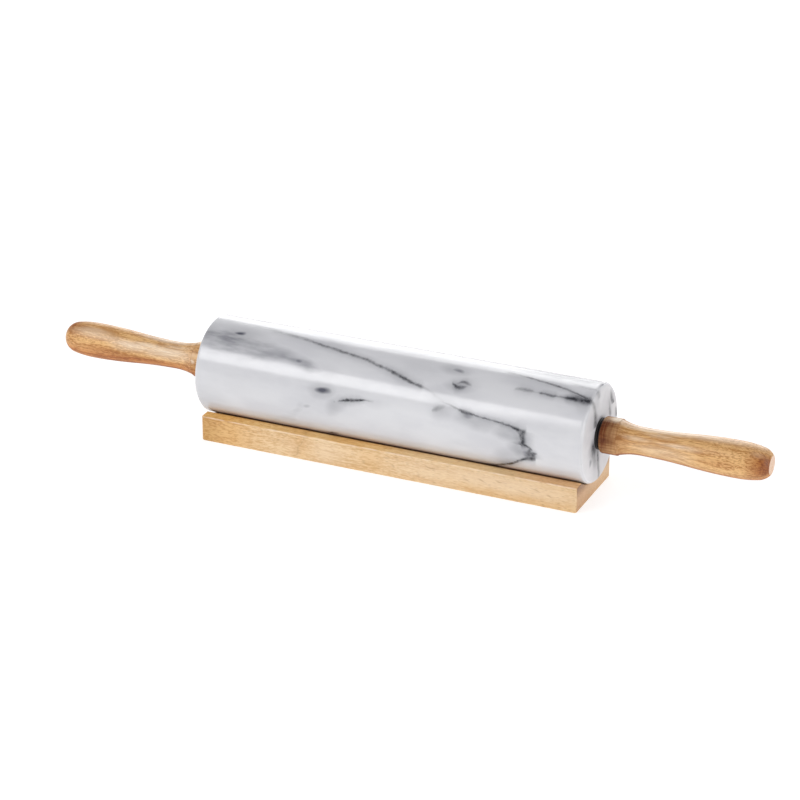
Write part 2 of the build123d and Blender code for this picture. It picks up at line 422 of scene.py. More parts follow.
# The right-hand end, as seen on it: mm up from the axis, mm to the back, half width in mm, darkness
veins_on_end = [
    [(7.0, -8.2, 2.0, 0), (9.5, -8.4, 2.1, 0.8), (14, -9.0, 2.1, 0.68), (19, -10.4, 1.9, 0.5),
     (23, -12.2, 1.9, 0.55), (27, -15.8, 1.5, 0.52), (29.5, -17.8, 0.9, 0)],
    [(-30.6, 0.7, 1.2, 0), (-28, 0.1, 1.4, 0.45), (-24, -0.6, 1.4, 0.6), (-18, -1.9, 1.6, 0.62),
     (-13, -3.0, 1.5, 0.85), (-8.5, -3.6, 1.2, 0)],
    [(-21, -5.4, 2.6, 0), (-16, -6.8, 3.2, 0.34), (-10.5, -9.2, 3.0, 0.62), (-5, -11.2, 2.2, 0.95),
     (-1.5, -12.6, 1.4, 0.4), (2, -13.6, 1.0, 0)],
    [(3, 17, 1.0, 0), (6.5, 16.6, 1.5, 0.6), (9, 16.2, 1.4, 0.6), (13, 15.2, 1.1, 0.3), (18, 13.4, 0.9, 0)],
    [(10.5, 21.6, 1.0, 0), (12.6, 20.4, 1.5, 0.9), (14.4, 18.8, 1.5, 0.75), (19, 16.8, 1.4, 0.4),
     (23, 15, 1.1, 0)],
    [(-1, 28.4, 0.9, 0), (1.5, 27.4, 1.4, 0.8), (4.5, 26.6, 1.3, 0.5), (8, 25, 0.9, 0)],
    [(23, -3.2, 1.4, 0), (27, -4, 1.8, 0.4), (30, -6.4, 1.4, 0)],
]
# Spots there: mm to the back, mm up, half width and half height in mm, slant, darkness
end_spots = [
    (-15, -12.6, 1.8, 2.2, 0, 0.55), (-11, -6, 5.0, 6.5, 20, 0.42), (-8, -16, 4.0, 9.0, 0, 0.2),
    (-6, 24, 4.0, 6.0, 10, 0.2), (12, 14, 9, 6, -30, 0.1),
]

# Places on the cradle's front: mm along, mm up, half length and half height in mm, slant, depth
golden_patches = [
    (-8, 8, 7, 9, 20, 0.4), (-117, 8, 24, 20, 0, 1.3), (-56, 7, 8, 12, 10, 0.4),
    (84, 2.5, 46, 2.6, -1, 0.55), (10, 1.5, 26, 1.8, 2, 0.4), (-30, 1, 22, 1.6, 3, 0.5),
]
pale_patches = [
    (-38, 9, 12, 9, 10, 0.5), (30, 9, 22, 8, 0, 0.5), (76, 10, 44, 5, -1, 0.75), (-62, 8, 5, 5, 0, 0.3),
]
dark_dashes = [
    (-13, 6.5, 1.2, 1.2, 0, 0.6), (2, 13, 1.6, 0.5, 10, 0.7), (5, 8, 1.0, 0.6, 0, 0.6),
    (31, 12, 3.5, 0.4, -8, 0.7), (55, 8, 2.4, 0.4, -8, 0.7), (64, 9.5, 2.2, 0.5, -8, 0.7),
    (76, 11, 2.0, 0.4, -8, 0.7), (90, 7, 2.4, 0.4, -8, 0.7), (99, 10, 2.0, 0.4, -8, 0.7),
    (107, 8, 2.2, 0.4, -8, 0.7),
]
# A faint line up the front: mm up, mm along, half width in mm, darkness
growth_seam = [
    (0, -61, 0.5, 0), (2, -60, 0.6, 0.5), (7, -57.6, 0.7, 0.6), (12, -55.2, 0.7, 0.5),
    (17, -53.5, 0.6, 0.4),
]

# Places on the handles: mm along the pin, degrees up round it, half length in mm, half height in degrees,
# slant, share
# Painted sheen: pale spots that put the handles' highlights and top-edge sheen into their colour
painted_sheen_spots = [
    (-158, 27, 16, 22, 0, 0.66), (-182, 28, 12, 16, 0, 0.6), (-197, 42, 14, 12, 0, 0.3),
    (-152, 58, 9, 9, 0, 0.4), (-139, 15, 1.2, 7, 0, 0.7), (-172, 42, 11, 9, 0, 0.6),
    (-211, 52, 12, 14, 0, 0.4), (-160, 88, 15, 14, 0, 0.6), (168, -4, 16, 22, 0, 0.34),
    (152, 32, 7, 8, 0, 0.34), (178, 28, 10, 8, 0, 0.4), (160, 79, 26, 9, 0, 0.5), (168, 95, 26, 9, 0, 0.7),
    (137.5, 90, 3.5, 14, 0, 1.0), (200, 80, 24, 13, 0, 0.3), (226, 53, 4, 10, 0, 0.15),
    (165, 60, 8, 9, 0, 0.35), (-140, 90, 4, 14, 0, 0.5),
]
# Brown stains, and painted shade: the large patches low on the lower sides, at -54 and -66 degrees, stand in
# for shade
stains_and_underside_shade = [
    (-141, 0, 4, 70, 0, 0.35), (-182, -23, 26, 12, 0, 0.55), (-202, -6, 16, 15, 0, 0.65),
    (-168, -54, 40, 15, 0, 0.75), (-222, 66, 8, 24, 0, 0.4), (204, 0, 9, 12, 0, 0.34),
    (231, 15, 4, 44, 0, 0.7), (144, 14, 5, 18, 0, 0.4), (194, 34, 14, 10, 0, 0.16),
    (168, -66, 54, 15, 0, 0.95), (-229, 78, 5.5, 28, 0, 1.0),
]


def vein(finish, run, across, points):
    """A line along a curve, and the soft grey beside it. The ink is full on the curve and fades out over its
    width; the curve, the width and the darkness are each read at the place along the run."""
    table = np.array(points, float)
    start, length = table[0, 0], table[-1, 0] - table[0, 0]
    low, high = table.min(axis=0), table.max(axis=0)
    place = finish.stretch(run, start, start + length, eased=False)
    shares = (table[:, 0] - start) / length
    read = []
    for column in (1, 2, 3):
        heights = (table[:, column] - low[column]) / max(high[column] - low[column], 1e-6)
        curve = finish.curve(place, list(zip(shares, heights)))
        read.append(curve * (high[column] - low[column]) + low[column])
    centre, width, depth = read
    lean = math.hypot(1, (table[-1, 1] - table[0, 1]) / length)
    distance = abs(across - centre) / (width * lean)
    return finish.stretch(distance, 1.9, 0.0) * depth, finish.stretch(distance, 5.5, 0.4) * depth


def spot(finish, across, up, place):
    """A soft oval that is dark in its middle and fades to nothing well outside its reach."""
    middle_x, middle_y, length, height, slant, depth = place
    turn = math.radians(slant)
    x, y = across - middle_x, up - middle_y
    along = (x * math.cos(turn) + y * math.sin(turn)) / length
    beside = (y * math.cos(turn) - x * math.sin(turn)) / height
    return finish.stretch(finish.math("SQRT", along * along + beside * beside), 1.9, 0.1) * depth


def spotted(finish, across, up, places):
    """The darkest of several soft ovals at each place."""
    return finish.larger(*(spot(finish, across, up, place) for place in places))


def in_mm(rows, column):
    """The rows with one column turned from degrees into mm round the barrel."""
    degree = math.radians(barrel_radius / mm)
    return [[value * degree if place == column else value for place, value in enumerate(row)] for row in rows]


def facing(up, back, degrees):
    """How squarely a direction, given by its parts up and back, faces one some degrees above the front."""
    angle = math.radians(degrees)
    return up * math.sin(angle) - back * math.cos(angle)


def ink_and_grey(finish, lines, shade, halo_share):
    """The darkest ink of several lines, and a share of the grey beside them on top of the shade."""
    ink, beside = (finish.larger(*wires) for wires in zip(*lines))
    return ink, beside * halo_share + shade


def veins_on_front(finish, along, back, up, slow, fast):
    """The picture's veins, bands and spots on the barrel, placed by mm along the pin and mm round it."""
    around = finish.math("ARCTAN2", up, 0.0 - back) * (barrel_radius / mm)
    ragged_along = along + slow[0] * 0.4 + fast[0] * 0.4
    ragged_around = around + slow[1] * 0.35 + fast[1] * 0.34
    soft_along = along + slow[2] * 0.9
    soft_around = around + slow[0] * 0.6
    smoke = finish.stretch(finish.drawn(0.25, 260.0, 3.0), 0.35, 0.65, 0.72, 1.24)
    lines = [vein(finish, ragged_along, ragged_around, in_mm(points, 1)) for points in veins_along_barrel]
    lines += [vein(finish, ragged_around, ragged_along, in_mm(points, 0)) for points in veins_round_barrel]
    bands = [vein(finish, soft_along, soft_around, in_mm(points, 1))[0] for points in bands_along_barrel]
    shade = spotted(finish, soft_along, soft_around, in_mm(spots, 1))
    shade = finish.larger(shade, *(band * smoke for band in bands))
    return ink_and_grey(finish, lines, shade, 0.26)


def veins_on_right_end(finish, back, up, slow, fast):
    """The picture's veins and spots on the barrel's right-hand end, placed by mm up and mm to the back."""
    ragged_back = back + slow[2] * 0.5 + fast[2] * 0.3
    ragged_up = up + slow[0] * 0.4
    lines = [vein(finish, ragged_up, ragged_back, points) for points in veins_on_end]
    return ink_and_grey(finish, lines, spotted(finish, ragged_back, ragged_up, end_spots), 0.2)


def veins_elsewhere(finish, place):
    """Sheets through the whole stone for what the picture doesn't show. A sheet lies where a stretched and
    tilted noise has one value: a thin dark line with wide grey sides, broken here and there, among clouds."""
    tilted = finish.place(scale=(0.34, 1.0, 1.0), turn=(0.3, 0.18, 0.34))
    broken = finish.stretch(finish.drawn(0.6, 30.0), 0.4, 0.62)
    ragged = (finish.noise(place, 260.0, detail=4.0, roughness=0.65) - 0.5) * 0.02
    sheet = abs(finish.noise(tilted, 13.0, detail=1.4, roughness=0.4, distortion=0.5) + ragged - 0.5)
    other = abs(finish.noise(tilted, 24.0, detail=1.4, roughness=0.4, distortion=0.7) + ragged - 0.44)
    thin = finish.larger(finish.stretch(sheet, 0.011, 0.0), finish.stretch(other, 0.01, 0.0) * 0.55)
    wide = finish.stretch(sheet, 0.055, 0.0) * 0.34
    clouds = finish.stretch(finish.noise(tilted, 12.0, detail=3.0), 0.5, 0.7) * 0.4
    return thin * broken * 0.9, wide * broken + clouds


def stone_sides(finish, along, back, up):
    """How far each place belongs to the front that the picture shows, to the right-hand end and to the
    left-hand end. An end begins where the way to the rim is longer than the way to the face."""
    radius = finish.math("SQRT", back * back + up * up)
    rim_line = (barrel_radius - barrel_end) / mm
    rim_blend = 0.8
    on_right_end = finish.stretch(radius - along, rim_line, rim_line - rim_blend)
    on_left_end = finish.stretch(radius + along, rim_line, rim_line - rim_blend)
    on_front = finish.stretch(facing(up, back, 29) / radius, -0.22, 0.02) * (1.0 - on_right_end)
    return on_front, on_right_end, on_left_end


def marble():
    """White marble with the picture's own veins where it shows them, and like ones elsewhere."""
    finish = Finish("polished_marble")
    white, dim = (0.70, 0.70, 0.718), (0.64, 0.64, 0.665)
    vein_grey, vein_black = (0.09, 0.093, 0.118), (0.028, 0.029, 0.036)
    place = finish.place()
    x, y, z = finish.parts(place)
    along, back, up = x / mm, y / mm, (z - axis_height) / mm
    slow = finish.wobbles(place, 110.0)
    fast = finish.wobbles(place, 520.0, detail=3.0)
    on_front, on_right_end, on_left_end = stone_sides(finish, along, back, up)
    hidden = 1.0 - finish.larger(on_front * (1.0 - on_left_end), on_right_end)
    front_ink, front_grey = veins_on_front(finish, along, back, up, slow, fast)
    end_ink, end_grey = veins_on_right_end(finish, back, up, slow, fast)
    hidden_ink, hidden_grey = veins_elsewhere(finish, place)
    ink = front_ink * on_front + end_ink * on_right_end + hidden_ink * hidden
    grey = front_grey * on_front + end_grey * on_right_end + hidden_grey * hidden

    patchy = finish.stretch(finish.noise(place, 260.0, detail=4.0, roughness=0.65), 0.3, 0.7, 0.62, 1.22)
    streaky = finish.stretch(finish.drawn(0.35, 150.0, 3.0), 0.3, 0.7, 0.85, 1.12)
    mottle = finish.drawn(0.4, 60.0, 4.0, 0.6)
    stone = finish.mix(finish.stretch(mottle, 0.35, 0.7), white, dim)
    stone = finish.mix(finish.clamped(grey * streaky), stone, vein_grey)
    stone = finish.mix(finish.clamped(ink * patchy), stone, vein_black)
    honed = finish.larger(on_right_end, on_left_end)
    polish = finish.stretch(mottle, 0.3, 0.7, 0.15, 0.19) + honed * 0.36
    finish.set(Base_Color=stone, Roughness=polish, IOR=1.52)
    finish.bump(finish.noise(place, 45.0), 0.02 * mm, 0.5)
    return finish


def grain(finish, pale, deep, pore, slant, contrast, fleck_depth, fleck_scale, fleck_share, fibre_share,
          pore_share):
    """The colour, the relief and the fibres of straight-grained wood: growth bands about a far pith, streaks,
    fibres and flecks that are a share as fine along the pin as across it, and pores that are long thin cells,
    dashes on a side and dots on an end."""
    pith_back, pith_down = 46 * mm, 30 * mm
    band_width = 5.2 * mm
    x, y, z = finish.parts(finish.place(turn=slant))
    sway = finish.wobbles(finish.place(scale=(0.35, 1, 1)), 30.0)
    beside = y - pith_back + sway[0] * mm
    above = z + pith_down + sway[1] * mm
    rings = finish.math("SQRT", beside * beside + above * above) / band_width + sway[2] * 0.3
    band = finish.math("FRACT", rings)
    late = finish.stretch(band, 0.2, 0.95) * finish.stretch(band, 1.0, 0.95)
    fibres = finish.drawn(fibre_share, 1500.0, 2.0, 0.7, slant)
    streaks = finish.drawn(fibre_share, 800.0, 3.0, 0.65, slant)
    flecks = finish.drawn(fleck_share, fleck_scale, 2.0, 0.65, slant)
    veins = finish.drawn(0.08, 240.0, turn=slant)
    clouds = finish.drawn(0.3, 42.0, 3.0)
    tone = (fibres - 0.5) * 2.2 + (streaks - 0.5) * 2.2 + (veins - 0.5) * 1.4 + (clouds - 0.5) + late * 0.22
    tone = (tone + (flecks - 0.5) * fleck_depth) * contrast + 0.38
    colour = finish.mix(finish.clamped(tone), pale, deep)
    distance, chance = finish.cells(finish.place(scale=(0.2, 1, 1), turn=slant), 1500.0)
    chance = chance + (clouds - 0.5) * 1.6 + (streaks - 0.5) * 0.8
    pores = finish.stretch(distance, 0.5, 0.1) * finish.stretch(chance, 1.0 - pore_share, 1.1 - pore_share)
    return finish.mix(pores * 0.55, colour, pore), (fibres - 0.5) * 0.5 - pores, fibres


def handle_wood():
    """Turned and oiled wood: dark brown at the right collar, partly burn lines and partly painted shade from
    the barrel, golden at the left one, with painted pale sheen in the hollows and along the tops, browner on
    the lower side as painted shade, browner round the nose and in stains, and pale on the flat tip."""
    finish = Finish("turned_handle_wood")
    pale, deep, pore = (0.80, 0.485, 0.205), (0.49, 0.23, 0.065), (0.30, 0.12, 0.04)
    burn_and_shade_brown, nose_brown, shadow_brown = (0.26, 0.10, 0.025), (0.56, 0.33, 0.15), (0.80, 0.57, 0.37)
    stain_and_shade_brown, sheen_pale = (0.58, 0.35, 0.17), (0.94, 0.79, 0.60)
    x, y, z = finish.parts(finish.place())
    out, up = abs(x), z - axis_height
    radius = finish.math("SQRT", y * y + up * up)
    rise, back = up / radius, y / radius
    on_right = finish.stretch(x, -handle_start, handle_start)
    on_left = 1.0 - on_right
    fleck_depth = finish.stretch(x, 185 * mm, 212 * mm, 0.9, 5.2) + on_left * 1.4
    colour, relief, fibres = grain(
        finish, pale, deep, pore, slant=(0.0, 0.02, 0.03), contrast=on_left * 0.5 + 1.3,
        fleck_depth=fleck_depth, fleck_scale=1650.0, fleck_share=0.26, fibre_share=0.05, pore_share=0.12)

    burn_and_shade = collar_burn_and_shade(finish, out, rise, back) * (on_right * 0.8 + 0.2)
    round_over = finish.stretch(out, taper_end - 12 * mm, taper_end + 2 * mm) * (on_right * 0.6 + 0.3)
    round_over *= finish.stretch(facing(rise, back, 12), 0.4, 0.95, 0.15, 1.0)
    # painted shade: each handle browner towards its bottom, where its own shadow would fall
    underside_shade = finish.stretch(rise, 0.0, -0.5) * on_left + finish.stretch(rise, -0.5, -0.8) * on_right
    sway = finish.wobbles(finish.place(scale=(0.3, 1, 1)), 260.0)
    along = x / mm + sway[0] * 1.2
    around = finish.math("ARCTAN2", up, 0.0 - y) * math.degrees(1) + sway[1] * 3.0
    # painted sheen and highlights, mixed into the colour as pale spots
    painted_sheen = spotted(finish, along, around, painted_sheen_spots) * finish.stretch(fibres, 0.32, 0.68, 1.15, 0.75)
    quirk = finish.stretch(abs(out - collar_end), 0.7 * mm, 0.1 * mm)
    # the collar's dark brown: partly burn lines, partly painted shade from the barrel's end
    colour = finish.tint(finish.clamped(burn_and_shade), colour, burn_and_shade_brown)
    colour = finish.tint(round_over, colour, nose_brown)
    # painted shade on the handles' lower sides
    colour = finish.tint(underside_shade, colour, shadow_brown)
    # brown stains, and painted shade low on the handles' lower sides
    colour = finish.tint(spotted(finish, along, around, stains_and_underside_shade), colour, stain_and_shade_brown)
    colour = finish.mix(painted_sheen, colour, sheen_pale)
    colour = finish.mix(quirk * 0.3, colour, pore)
    flat_tip = finish.stretch(out, handle_end - 0.35 * mm, handle_end - 0.05 * mm)
    flat_tip *= finish.stretch(radius, tip_radius + 0.1 * mm, tip_radius - 0.3 * mm)
    tip_colour = finish.mix(finish.stretch(fibres, 0.3, 0.7), (0.80, 0.56, 0.40), (0.66, 0.42, 0.27))
    colour = finish.mix(flat_tip, colour, tip_colour)
    sheen = finish.stretch(fibres, 0.3, 0.7, 0.34, 0.44) + burn_and_shade * 0.3 + underside_shade * 0.15
    finish.set(Base_Color=colour, Roughness=sheen, Specular_IOR_Level=0.45)
    finish.bump(relief, 0.09 * mm, 0.6)
    return finish


def collar_burn_and_shade(finish, out, rise, back):
    """How dark brown the collar is, partly burn lines and partly painted shade from the barrel: most next to
    the barrel and towards the front, in fine lines round it.
    """
    lines = finish.noise(finish.place(scale=(1, 0.06, 0.06)), 1500.0)
    burn_and_shade = finish.stretch(out, collar_end + 9 * mm, handle_start + mm)
    burn_and_shade *= finish.stretch(lines, 0.3, 0.7, 0.8, 1.12) * finish.stretch(rise, 1.0, 0.95, 0.55, 1.0)
    return burn_and_shade * finish.stretch(facing(rise, back, 38), 0.2, 0.95, 0.62, 1.0)


def cradle_wood():
    """Paler planed wood, golden towards the left, with short dark dashes; its top is lighter and more golden
    as painted light, its trough and the top of its ends are darker as painted shade, and a painted highlight
    runs along the top front edge.
    """
    finish = Finish("planed_cradle_wood")
    pale, deep, pore = (0.815, 0.59, 0.345), (0.64, 0.395, 0.18), (0.36, 0.18, 0.07)
    x, y, z = finish.parts(finish.place())
    contrast = finish.stretch(x, 0, 80 * mm, 0.84, 0.45)
    fleck_depth = finish.stretch(x, -125 * mm, -40 * mm, 7.0, 3.4)
    colour, relief, fibres = grain(
        finish, pale, deep, pore, slant=(0.0, 0.02, 0.045), contrast=contrast, fleck_depth=fleck_depth,
        fleck_scale=1250.0, fleck_share=0.24, fibre_share=0.1, pore_share=0.2)

    sway = finish.wobbles(finish.place(), 160.0)
    along, up = x / mm + sway[0] * 1.6, z / mm + sway[1] * 0.9
    on_front = finish.stretch(y, trough_half_width - cradle_half_width, -cradle_half_width + 2 * mm)
    seam, beside_seam = vein(finish, up, along, growth_seam)
    dashes = spotted(finish, along, up, dark_dashes) * on_front
    marks = finish.larger(dashes, seam, beside_seam * 0.4) * 0.6
    colour = finish.tint(spotted(finish, along, up, golden_patches), colour, (0.91, 0.78, 0.56))
    colour = finish.mix(spotted(finish, along, up, pale_patches) * 0.6, colour, (0.88, 0.70, 0.50))
    colour = finish.mix(marks, colour, pore)
    for share, factor in cradle_tones(finish, x, y, z):
        colour = finish.tint(share, colour, factor)
    # painted highlight: a broken pale line along the top front edge
    painted_edge_highlight = finish.stretch(z, cradle_height - 0.9 * mm, cradle_height - 0.4 * mm)
    painted_edge_highlight *= finish.stretch(y, 0.9 * mm - cradle_half_width, 0.3 * mm - cradle_half_width)
    painted_edge_highlight *= finish.stretch(sway[2], -1, 1, 0.0, 0.5)
    colour = finish.mix(painted_edge_highlight, colour, (0.95, 0.78, 0.62))
    finish.set(Base_Color=colour, Roughness=finish.stretch(fibres, 0.3, 0.7, 0.38, 0.52))
    finish.bump(relief, 0.07 * mm, 0.6)
    return finish


def cradle_tones(finish, x, y, z):
    """Where the cradle's wood is tinted, how far, and by which colour: its top, lighter and more golden as
    painted light, with tints along it; its left end; its trough, darker and orange near the lips as painted
    shade; and its ends, darker towards the top as painted shade.
    """
    on_top = finish.stretch(z, cradle_height - 0.5 * mm, cradle_height - 0.05 * mm)
    on_end = finish.stretch(abs(x), cradle_half_length - 0.3 * mm, cradle_half_length - 0.05 * mm)
    in_trough = finish.stretch(abs(y), trough_half_width + 0.2 * mm, trough_half_width - 0.4 * mm)
    in_trough *= finish.stretch(z, trough_floor - mm, trough_floor - 0.2 * mm)
    in_trough *= finish.stretch(abs(x), cradle_half_length - 3 * mm, cradle_half_length - 8 * mm)
    near_lip = finish.stretch(abs(y), trough_half_width - 7 * mm, trough_half_width - mm)
    # painted light: the top is lighter and more golden, most golden towards the left, as if lit by light
    # bounced off the barrel
    painted_light_top = finish.mix(finish.stretch(x, -20 * mm, 30 * mm), (1.2, 1.13, 0.87), (1.2, 1.2, 1.1))
    # painted shade in the trough, darker and orange near the lips, so the gap under the barrel looks dark
    # brown
    painted_trough_shade = finish.mix(near_lip, (0.97, 0.86, 0.72), (0.93, 0.50, 0.22))
    return [
        (on_top, painted_light_top),
        (on_top * finish.stretch(abs(x + 29 * mm), 18 * mm, 4 * mm), (0.92, 0.83, 0.69)),
        (on_top * finish.stretch(x, -66 * mm, -92 * mm), (1.05, 1.10, 1.17)),
        (on_top * finish.stretch(x, 70 * mm, 105 * mm), (0.86, 0.76, 0.73)),
        (finish.stretch(x, -104 * mm, -121 * mm) * (1.0 - on_top), (0.84, 0.80, 0.68)),
        (in_trough, painted_trough_shade),
        (on_end * finish.stretch(y, 15 * mm, -25 * mm, 0.45, 1.0), (0.72, 0.60, 0.51)),
        # painted shade: the top of each end is darker, where the barrel's rim shades it
        (on_end * finish.stretch(z, 8 * mm, 15 * mm), (0.54, 0.49, 0.49)),
    ]


def black_plastic():
    """Moulded black plastic with a fine spark-eroded grain."""
    finish = Finish("moulded_black_plastic")
    pebbles = finish.noise(finish.place(), 2600.0)
    finish.set(Base_Color=finish.mix(pebbles, (0.006, 0.006, 0.006), (0.013, 0.012, 0.012)))
    finish.set(Roughness=finish.stretch(pebbles, 0.3, 0.7, 0.38, 0.54))
    finish.bump(pebbles, 0.02 * mm, 0.4)
    return finish


def turned_metal(name, colour, roughness):
    """Metal turned or drawn to size: fine lines across its length, and a faint mottle."""
    finish = Finish(name)
    lines = finish.noise(finish.place(scale=(1, 0.04, 0.04)), 4200.0)
    mottle = finish.noise(finish.place(), 120.0)
    finish.set(Base_Color=finish.mix(mottle, [0.82 * c for c in colour], colour), Metallic=1.0)
    finish.set(Roughness=finish.stretch(lines + mottle, 0.7, 1.3, roughness - 0.07, roughness + 0.07))
    finish.bump(lines, 0.008 * mm, 0.5)
    return finish


finishes = {
    "marble": marble(),
    "cradle_wood": cradle_wood(),
    "handle_wood": handle_wood(),
    "black_plastic": black_plastic(),
    "rod_steel": turned_metal("drawn_steel", (0.62, 0.62, 0.64), 0.24),
    "insert_brass": turned_metal("turned_brass", (0.78, 0.60, 0.30), 0.28),
}


def quads(rows, columns, wrap_rows, wrap_columns):
    """Corner numbers of the faces of a grid, its last row or column joined to the first where it wraps."""
    number = np.arange(rows * columns).reshape(rows, columns)
    if wrap_columns:
        number = np.hstack([number, number[:, :1]])
    if wrap_rows:
        number = np.vstack([number, number[:1]])
    corners = [number[:-1, :-1], number[:-1, 1:], number[1:, 1:], number[1:, :-1]]
    return np.stack(corners, axis=-1).reshape(-1, 4)


def make_piece(name, node_name, *grids):
    """One closed piece from grids of points, each with its two wraps; it takes over a node of the frame, with
    that node's body, slot and finish. Shared borders are merged and the faces turned outwards."""
    points, faces, count = [], [], 0
    for grid, wrap_rows, wrap_columns in grids:
        points.append(grid.reshape(-1, 3))
        faces.append(quads(*grid.shape[:2], wrap_rows, wrap_columns) + count)
        count += len(points[-1])
    mesh = bpy.data.meshes.new(name)
    mesh.from_pydata(np.vstack(points).tolist(), [], np.vstack(faces).tolist())
    shell = bmesh.new()
    shell.from_mesh(mesh)
    bmesh.ops.remove_doubles(shell, verts=shell.verts, dist=merge_distance)
    bmesh.ops.recalc_face_normals(shell, faces=shell.faces)
    shell.to_mesh(mesh)
    shell.free()
    mesh.shade_smooth()
    mesh.set_sharp_from_angle(angle=sharp_angle)
    node = frame["nodes"][node_name]
    slot = node.material_slots[0].material.name
    mesh.materials.append(finishes[slot].material)
    piece = bpy.data.objects.new(name, mesh)
    bpy.context.scene.collection.objects.link(piece)
    weighted = piece.modifiers.new("even_normals", "WEIGHTED_NORMAL")
    weighted.mode = "FACE_AREA"
    weighted.keep_sharp = True
    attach(piece, node["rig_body"])
    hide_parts(node_name)
    return piece


def rounded(corners, radii, steps=6):
    """A closed outline with rounded corners. Each arc's centre lies on the corner's bisector, a radius over
    the sine of half the corner's angle away, and its points swing evenly between its two touching points."""
    corners, radii = np.array(corners, float), np.array(radii, float)[:, None]
    before = np.roll(corners, 1, axis=0) - corners
    after = np.roll(corners, -1, axis=0) - corners
    before /= np.linalg.norm(before, axis=1, keepdims=True)
    after /= np.linalg.norm(after, axis=1, keepdims=True)
    half = np.arccos(np.clip((before * after).sum(axis=1, keepdims=True), -1, 1)) / 2
    bisector = before + after
    length = np.linalg.norm(bisector, axis=1, keepdims=True)
    bisector = np.divide(bisector, length, out=np.zeros_like(bisector), where=length > 1e-9)
    centres = corners + bisector * radii / np.sin(half)
    first = corners + before * radii / np.tan(half) - centres
    last = corners + after * radii / np.tan(half) - centres
    turn = (np.pi - 2 * half)[:, None]
    swing = np.linspace(0, 1, steps + 1)[None, :, None]
    sine = np.maximum(np.sin(turn), 1e-9)
    arcs = (np.sin((1 - swing) * turn) * first[:, None] + np.sin(swing * turn) * last[:, None]) / sine
    outline = (centres[:, None] + arcs).reshape(-1, 2)
    step = np.linalg.norm(outline - np.roll(outline, 1, axis=0), axis=1)
    return outline[step > merge_distance]


def spaced(outline, longest, closed=True):
    """The outline with its long straight stretches cut into equal steps no longer than a given length."""
    ends = np.roll(outline, -1, axis=0) if closed else outline[1:]
    starts = outline if closed else outline[:-1]
    counts = np.maximum(1, np.ceil(np.linalg.norm(ends - starts, axis=1) / longest)).astype(int)
    pieces = [start + (end - start) * np.linspace(0, 1, count, endpoint=False)[:, None]
              for start, end, count in zip(starts, ends, counts)]
    return np.vstack(pieces if closed else pieces + [outline[-1:]])


def tangent_arc(start, way, end, step):
    """Points on the circle that leaves the start along a unit vector and reaches the end: the start, plus the
    way times the sine and the side times one less the cosine of the angle turned, both over the curvature."""
    start, way, end = (np.array(value, float) for value in (start, way, end))
    side = np.array((-way[1], way[0]))
    chord = end - start
    curvature = 2 * (chord @ side) / (chord @ chord)
    sweep = 2 * math.atan2(chord @ side, chord @ way)
    count = max(3, math.ceil(abs(sweep / curvature) / step))
    turned_by = sweep * np.linspace(0, 1, count + 1)[:, None]
    return start + (np.sin(turned_by) * way + (1 - np.cos(turned_by)) * side) / curvature


def leaving(start, way, end):
    """The direction in which that circle reaches the end: the way mirrored in the chord."""
    way, chord = np.array(way, float), np.array(end, float) - np.array(start, float)
    return 2 * (chord @ way) / (chord @ chord) * chord - way


def waves(x, around, reach, phase):
    """Slow hand-finishing waves between 0 and 1: the mean of sines that run along and round a piece."""
    cycles = ((2.3, 1), (4.1, 2), (7.7, 3), (0.9, 5), (13.3, 1))
    total = 0
    for along, turns in cycles:
        total = total + np.sin(2 * np.pi * along * x / reach + turns * around + phase * (turns + 1))
    return 0.5 + 0.5 * total / len(cycles)


def turned(outline, sides, side=1, depth=0.0, reach=0.1, phase=0.0):
    """An outline of (distance along the pin, radius) carried once round the pin's axis: each point becomes a
    ring of (x, -r cos t, height + r sin t), less waves of a given depth. Side -1 turns it end for end."""
    around = np.linspace(0, 2 * np.pi, sides, endpoint=False)[None, :]
    x, radius = outline[:, :1], outline[:, 1:]
    cut = depth * waves(x, around, reach, phase) * np.minimum(1, radius / belly_radius)
    ring = np.maximum(radius - cut, 0)
    flat = [side * (x + 0 * around), -side * ring * np.cos(around), axis_height + ring * np.sin(around)]
    return np.stack(flat, axis=-1)


def marble_barrel():
    """The bored cylinder with bevelled rims, ground slightly uneven."""
    face, rim = barrel_end, barrel_radius
    right = [(face, bore_radius + bore_mouth_bevel), (face, rim - rim_bevel), (face - rim_bevel, rim)]
    left = [(-x, r) for x, r in reversed(right)]
    mouth = face - bore_mouth_bevel
    corners = right + left + [(-mouth, bore_radius), (mouth, bore_radius)]
    radii = [0] + 4 * [rim_softening] + 3 * [0]
    outline = spaced(rounded(corners, radii), 2.5 * mm)
    skin = turned(outline, barrel_sides, depth=barrel_wave, reach=0.16, phase=0.7)
    make_piece("marble_barrel", "marble_roller", (skin, True, True))


def bushing(side, name):
    """The flanged sleeve: its flange lies on the marble's end and its sleeve sits in the bore."""
    start, end = bushing_low.x, bushing_high.x
    mouth = bore_mouth_bevel
    corners = [(start, sleeve_bore_radius), (end, sleeve_bore_radius), (end, flange_radius),
               (barrel_end, flange_radius), (barrel_end, sleeve_radius), (start + mouth, sleeve_radius),
               (start, sleeve_radius - mouth)]
    radii = [0, 0, flange_edge_radius, 0, 0, 0, 0]
    skin = turned(spaced(rounded(corners, radii), 1.5 * mm), ring_sides, side)
    make_piece(name + "_bushing_moulding", name + "_bushing", (skin, True, True))


def washer(side, name):
    """The thrust washer, rounded towards the flange."""
    start, end = washer_low.x, washer_high.x
    hole = rod_radius + washer_gap
    corners = [(end, hole), (end, washer_radius), (start, washer_radius), (start, hole)]
    skin = turned(spaced(rounded(corners, [0, 0, washer_edge_radius, 0]), mm), ring_sides, side)
    make_piece(name + "_washer_moulding", name + "_washer", (skin, True, True))


